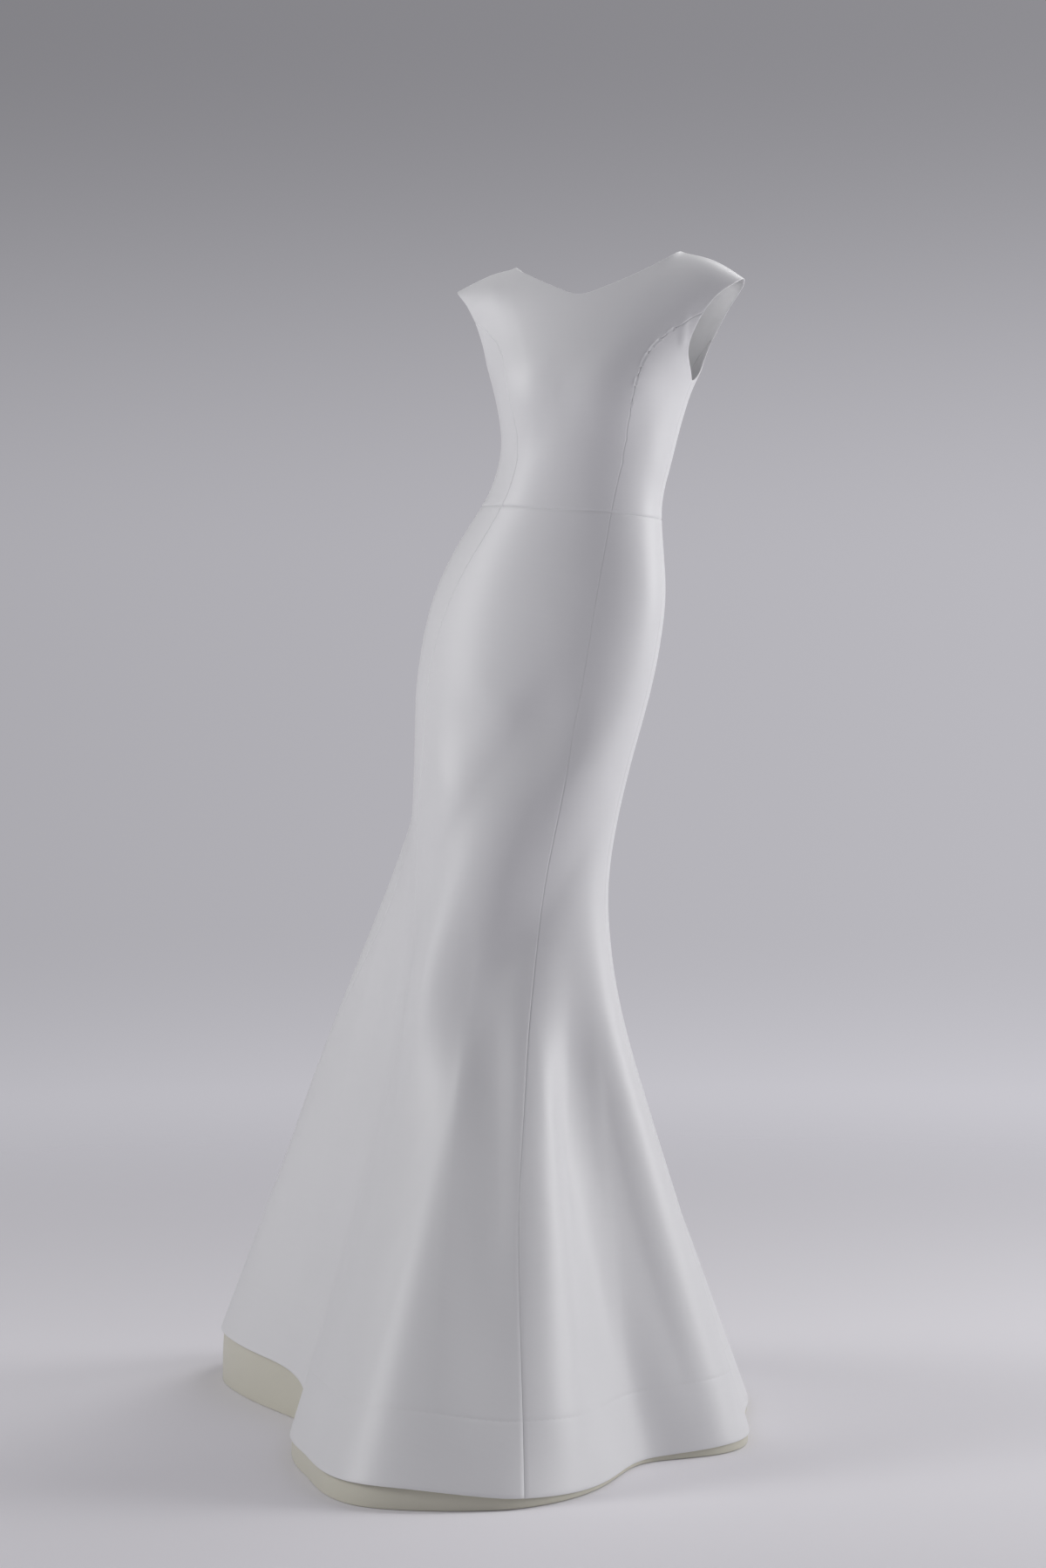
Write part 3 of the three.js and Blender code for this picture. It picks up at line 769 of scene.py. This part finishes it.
bpy.ops.mesh.primitive_uv_sphere_add(segments=6, ring_count=4, radius=1)
stitch = bpy.context.object
stitch.scale = (STITCH_LENGTH / 2, STITCH_THREAD, STITCH_THREAD)
bpy.ops.object.transform_apply(location=True, rotation=True, scale=True)
stitches = []
for number in range(count):
    start = along_hem(number * STITCH_GAP)
    end = along_hem(number * STITCH_GAP + STITCH_LENGTH)
    copy = stitch.copy()
    copy.data = stitch.data.copy()
    copy.location = start
    copy.rotation_euler = Vector(end - start).to_track_quat("X", "Z").to_euler()
    bpy.context.scene.collection.objects.link(copy)
    stitches.append(copy)
bpy.data.objects.remove(stitch)
select_only(*stitches)
bpy.ops.object.join()
sewing = bpy.context.object
sewing.name = "hem_stitches"
sewing.data.name = sewing.name
bpy.ops.object.transform_apply(location=True, rotation=True, scale=True)
bpy.ops.object.shade_smooth()
print("hem sewn with", count, "stitches round", round(float(walked[-1]), 2), "metres")

# %% [markdown]
# ## Writing materials as sums
# A material is a small program. This class wraps a socket so that Python's own signs add
# the Math nodes, and one method makes any other node from its settings and its inputs.


# %% The socket class
class Socket:
    """A node's output, with arithmetic that adds Math nodes."""

    def __init__(self, tree, output):
        self.tree = tree
        self.output = output

    def node(self, kind, settings=None, inputs=None, out=0):
        """Adds a node, sets it up, and fills or links its inputs."""
        node = self.tree.nodes.new(kind)
        for key, value in (settings or {}).items():
            setattr(node, key, value)
        for key, value in (inputs or {}).items():
            if isinstance(value, Socket):
                self.tree.links.new(value.output, node.inputs[key])
            else:
                node.inputs[key].default_value = value
        return Socket(self.tree, node.outputs[out])

    def maths(self, operation, *values):
        return self.node(
            "ShaderNodeMath", {"operation": operation}, dict(enumerate(values))
        )

    def __add__(self, other):
        return self.maths("ADD", self, other)

    def __radd__(self, other):
        return self.maths("ADD", other, self)

    def __sub__(self, other):
        return self.maths("SUBTRACT", self, other)

    def __rsub__(self, other):
        return self.maths("SUBTRACT", other, self)

    def __mul__(self, other):
        return self.maths("MULTIPLY", self, other)

    def __rmul__(self, other):
        return self.maths("MULTIPLY", other, self)

    def wave(self):
        """A sine wave, one turn for each unit."""
        return self.maths("SINE", self * (2 * math.pi))

    def part(self, name):
        """One component of a vector."""
        split = self.node("ShaderNodeSeparateXYZ", None, {0: self})
        return Socket(self.tree, split.output.node.outputs[name])


def new_material(name):
    """An empty material, its Principled shader and a first socket to build on."""
    material = bpy.data.materials.new(name)
    material.use_nodes = True
    shader = material.node_tree.nodes["Principled BSDF"]
    return material, shader, Socket(material.node_tree, None)


def feed(shader, name, value):
    """Links a worked-out value, or sets a plain one, on a shader's input."""
    if isinstance(value, Socket):
        value.tree.links.new(value.output, shader.inputs[name])
    else:
        shader.inputs[name].default_value = value


# %% [markdown]
# ## Heavy satin
# The cloth is a thick bridal satin, matte at a glance, with a soft glow where it turns
# towards a lamp. Its weave is so fine that it only shows as a tooth in the surface: warp
# and weft ribs 0.4 mm apart, crossed by a few faint slubs. The ribs and slubs go into the
# bump, the slubs a little into the roughness and colour too. The even glow is the
# shader's own sheen, which is the same all over, so it is set on the socket itself.

# %% Make the satins
THREAD = 0.00042
SLUB_LENGTH = 1 / 12
SLUB = 0.0035
TOOTH_DEPTH = 0.0001


def satin(name, colour, shade, roughness, sheen, tooth):
    """A woven satin: ribs along the grain, slubs across it, and soft unevenness."""
    material, shader, start = new_material(name)
    flat = start.node("ShaderNodeUVMap", {"uv_map": "cloth"})
    across, along = flat.part("X"), flat.part("Y")
    weft = (along * (1 / THREAD)).wave()
    warp = (across * (1 / THREAD)).wave()
    slub_place = start.node(
        "ShaderNodeMapping",
        {"vector_type": "POINT"},
        {0: flat, 3: (1 / SLUB_LENGTH, 1 / SLUB, 1)},
    )
    slubs = start.node(
        "ShaderNodeTexNoise", None, {"Vector": slub_place, "Scale": 1, "Detail": 3}
    )
    place = start.node("ShaderNodeTexCoord", None, None, 3)
    cloudy = start.node(
        "ShaderNodeTexNoise", None, {"Vector": place, "Scale": 9, "Detail": 4}
    )
    weave = weft * 0.5 + warp * 0.35
    height = weave * 0.4 + slubs * 1.2
    bump = start.node(
        "ShaderNodeBump",
        None,
        {"Height": height, "Strength": tooth, "Distance": TOOTH_DEPTH},
    )
    tone = start.node(
        "ShaderNodeMix",
        {"data_type": "RGBA"},
        {0: cloudy * 0.6 + slubs * 0.4, 6: (*shade, 1), 7: (*colour, 1)},
        2,
    )
    feed(shader, "Base Color", tone)
    feed(shader, "Roughness", cloudy * 0.06 + slubs * 0.08 + (roughness - 0.07))
    feed(shader, "Normal", bump)
    feed(shader, "Sheen Weight", sheen)
    feed(shader, "Sheen Roughness", 0.45)
    feed(shader, "Specular IOR Level", 0.6)
    return material


heavy_satin = satin(
    "heavy_satin", (0.83, 0.83, 0.835), (0.79, 0.79, 0.80), 0.44, 0.2, 0.22
)
lining_satin = satin(
    "lining_satin", (0.68, 0.66, 0.55), (0.62, 0.60, 0.50), 0.42, 0.15, 0.15
)
zip_cloth = satin("zip_cloth", (0.78, 0.78, 0.76), (0.72, 0.72, 0.70), 0.7, 0.1, 0.5)


def plain_thread(name, colour, roughness):
    """Thread or nylon: a plain tone that varies a little from place to place."""
    material, shader, start = new_material(name)
    place = start.node("ShaderNodeTexCoord", None, None, 3)
    fine = start.node(
        "ShaderNodeTexNoise", None, {"Vector": place, "Scale": 900, "Detail": 2}
    )
    darker = [0.88 * channel for channel in colour]
    tone = start.node(
        "ShaderNodeMix",
        {"data_type": "RGBA"},
        {0: fine, 6: (*darker, 1), 7: (*colour, 1)},
        2,
    )
    feed(shader, "Base Color", tone)
    feed(shader, "Roughness", fine * 0.15 + (roughness - 0.07))
    return material


sewing_thread = plain_thread("sewing_thread", (0.84, 0.84, 0.84), 0.5)
coil_nylon = plain_thread("coil_nylon", (0.80, 0.80, 0.79), 0.35)

# %% [markdown]
# ## The pieces' materials
# Each piece rides on the gown's one body, takes the place of its wall in the model, which
# is hidden, and gets its material.

# %% Finish the cloth
def finish_cloth(node, piece, material):
    """Gives a piece its material, puts it on the gown's body and hides the wall it stands
    for.
    """
    piece.data.materials.append(material)
    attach(piece, "root")
    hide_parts(node)


for node in BODICE:
    beside = BODICE[BODICE.index(node) - 1]
    finish_cloth(node, cloth[node], heavy_satin)
for node in SKIRT:
    finish_cloth(node, cloth[node], heavy_satin)
for node in LININGS:
    finish_cloth(node, under[node], lining_satin)
finish_cloth("zip_tape", tape, zip_cloth)
for piece, material, slot in (
    (coil, coil_nylon, "zip_tape"),
    (sewing, sewing_thread, "heavy_satin"),
):
    piece.data.materials.clear()
    piece.data.materials.append(material)
    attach(piece, "root")

# %% [markdown]
# ## Floor and light
# The studio has a pale seamless floor that fades into a grey background. A disc whose
# material turns clear towards its rim does that. The world behind it has three plain
# tones that fade into each other: the floor's at the bottom, a wall's round the horizon
# and a darker one at the top. It is a little lighter to the right. Much of the light on
# the gown comes from this pale room. The lamps are large and soft: one stands in front
# on the left, and the ones on the right and overhead are behind the gown and draw its
# bright edges.

# %% Floor
FLOOR_RADIUS = 6.0
FLOOR_SOLID = 1.5
FLOOR_CLEAR = 4.6
FLOOR_DROP = 0.0005
bpy.ops.mesh.primitive_circle_add(
    vertices=96,
    radius=FLOOR_RADIUS,
    fill_type="NGON",
    location=(0, 0, FLOOR - FLOOR_DROP),
)
floor = bpy.context.object
floor.name = "studio_floor"
bpy.ops.object.transform_apply(location=True, rotation=True, scale=True)
floor_paint, floor_shader, start = new_material("floor_paint")
place = start.node("ShaderNodeTexCoord", None, None, 3)
away = start.node("ShaderNodeVectorMath", {"operation": "LENGTH"}, {0: place}, 1)
clear = start.node(
    "ShaderNodeMapRange",
    {"interpolation_type": "SMOOTHSTEP"},
    {0: away, 1: FLOOR_SOLID, 2: FLOOR_CLEAR, 3: 1.0, 4: 0.0},
)
feed(floor_shader, "Base Color", (0.82, 0.805, 0.835, 1))
feed(floor_shader, "Roughness", 0.75)
feed(floor_shader, "Alpha", clear)
floor.data.materials.append(floor_paint)
floor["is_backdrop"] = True

# %% World
FLOOR_GREY, WALL_GREY, TOP_GREY = 0.60, 0.45, 0.25
BACKDROP = [(-0.15, FLOOR_GREY), (-0.06, WALL_GREY), (0.04, WALL_GREY), (0.20, TOP_GREY)]
BACKDROP_TINT = (1.0, 0.985, 1.06)
AMBIENT = 0.86
LEFT_TO_RIGHT = 0.085
SIDEWAYS_REACH = 0.15

world = bpy.data.worlds.new("studio_grey")
bpy.context.scene.world = world
world.use_nodes = True
sky = Socket(world.node_tree, None)
direction = sky.node("ShaderNodeTexCoord", None, None, 0)
low, high = BACKDROP[0][0], BACKDROP[-1][0]
share = sky.node(
    "ShaderNodeMapRange", None, {0: direction.part("Z"), 1: low, 2: high, 3: 0.0, 4: 1.0}
)
shades = sky.node("ShaderNodeValToRGB", None, {0: share})
ramp = shades.output.node.color_ramp
ramp.interpolation = "EASE"
while len(ramp.elements) < len(BACKDROP):
    ramp.elements.new(0.5)
for stop, (height, grey) in zip(ramp.elements, BACKDROP):
    stop.position = (height - low) / (high - low)
    stop.color = (*(grey * tint for tint in BACKDROP_TINT), 1)
sideways = sky.node(
    "ShaderNodeVectorMath", {"operation": "DOT_PRODUCT"}, {0: direction, 1: to_right}, 1
)
lighter = sky.node(
    "ShaderNodeMapRange",
    None,
    {
        0: sideways,
        1: -SIDEWAYS_REACH,
        2: SIDEWAYS_REACH,
        3: 1 - LEFT_TO_RIGHT,
        4: 1 + LEFT_TO_RIGHT,
    },
)
background = world.node_tree.nodes["Background"]
world.node_tree.links.new(shades.output, background.inputs["Color"])
seen = sky.node("ShaderNodeLightPath", None, None, 0)
strength = (seen * (1 - AMBIENT) + AMBIENT) * lighter
world.node_tree.links.new(strength.output, background.inputs["Strength"])


# %% Lamps
AIM = Vector((-0.1, 0, FLOOR + 0.9))


def add_lamp(name, azimuth, distance, height, size, power):
    """A soft upright lamp round the gown, aimed at its middle."""
    turn = math.radians(azimuth)
    at = Vector((math.sin(turn) * distance, -math.cos(turn) * distance, FLOOR + height))
    bpy.ops.object.light_add(type="AREA", location=at)
    lamp = bpy.context.object
    lamp.name = name
    lamp.data.shape = "RECTANGLE"
    lamp.data.size, lamp.data.size_y = size
    lamp.data.energy = power
    lamp.rotation_euler = (AIM - at).to_track_quat("-Z", "Y").to_euler()


add_lamp("right_rim_light", 118, 3.0, 1.7, (1.0, 2.2), 43)
add_lamp("left_side_light", -60, 3.2, 2.3, (1.1, 2.2), 45)
add_lamp("overhead_light", 150, 1.8, 3.4, (1.6, 1.6), 30)
bpy.context.scene.view_settings.view_transform = "Standard"

# %% The bounds before and after
dressed_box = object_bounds()
for name, (low, high) in (("model", cad_box), ("dressed gown", dressed_box)):
    print(name, "from", [round(v, 3) for v in low], "to", [round(v, 3) for v in high])
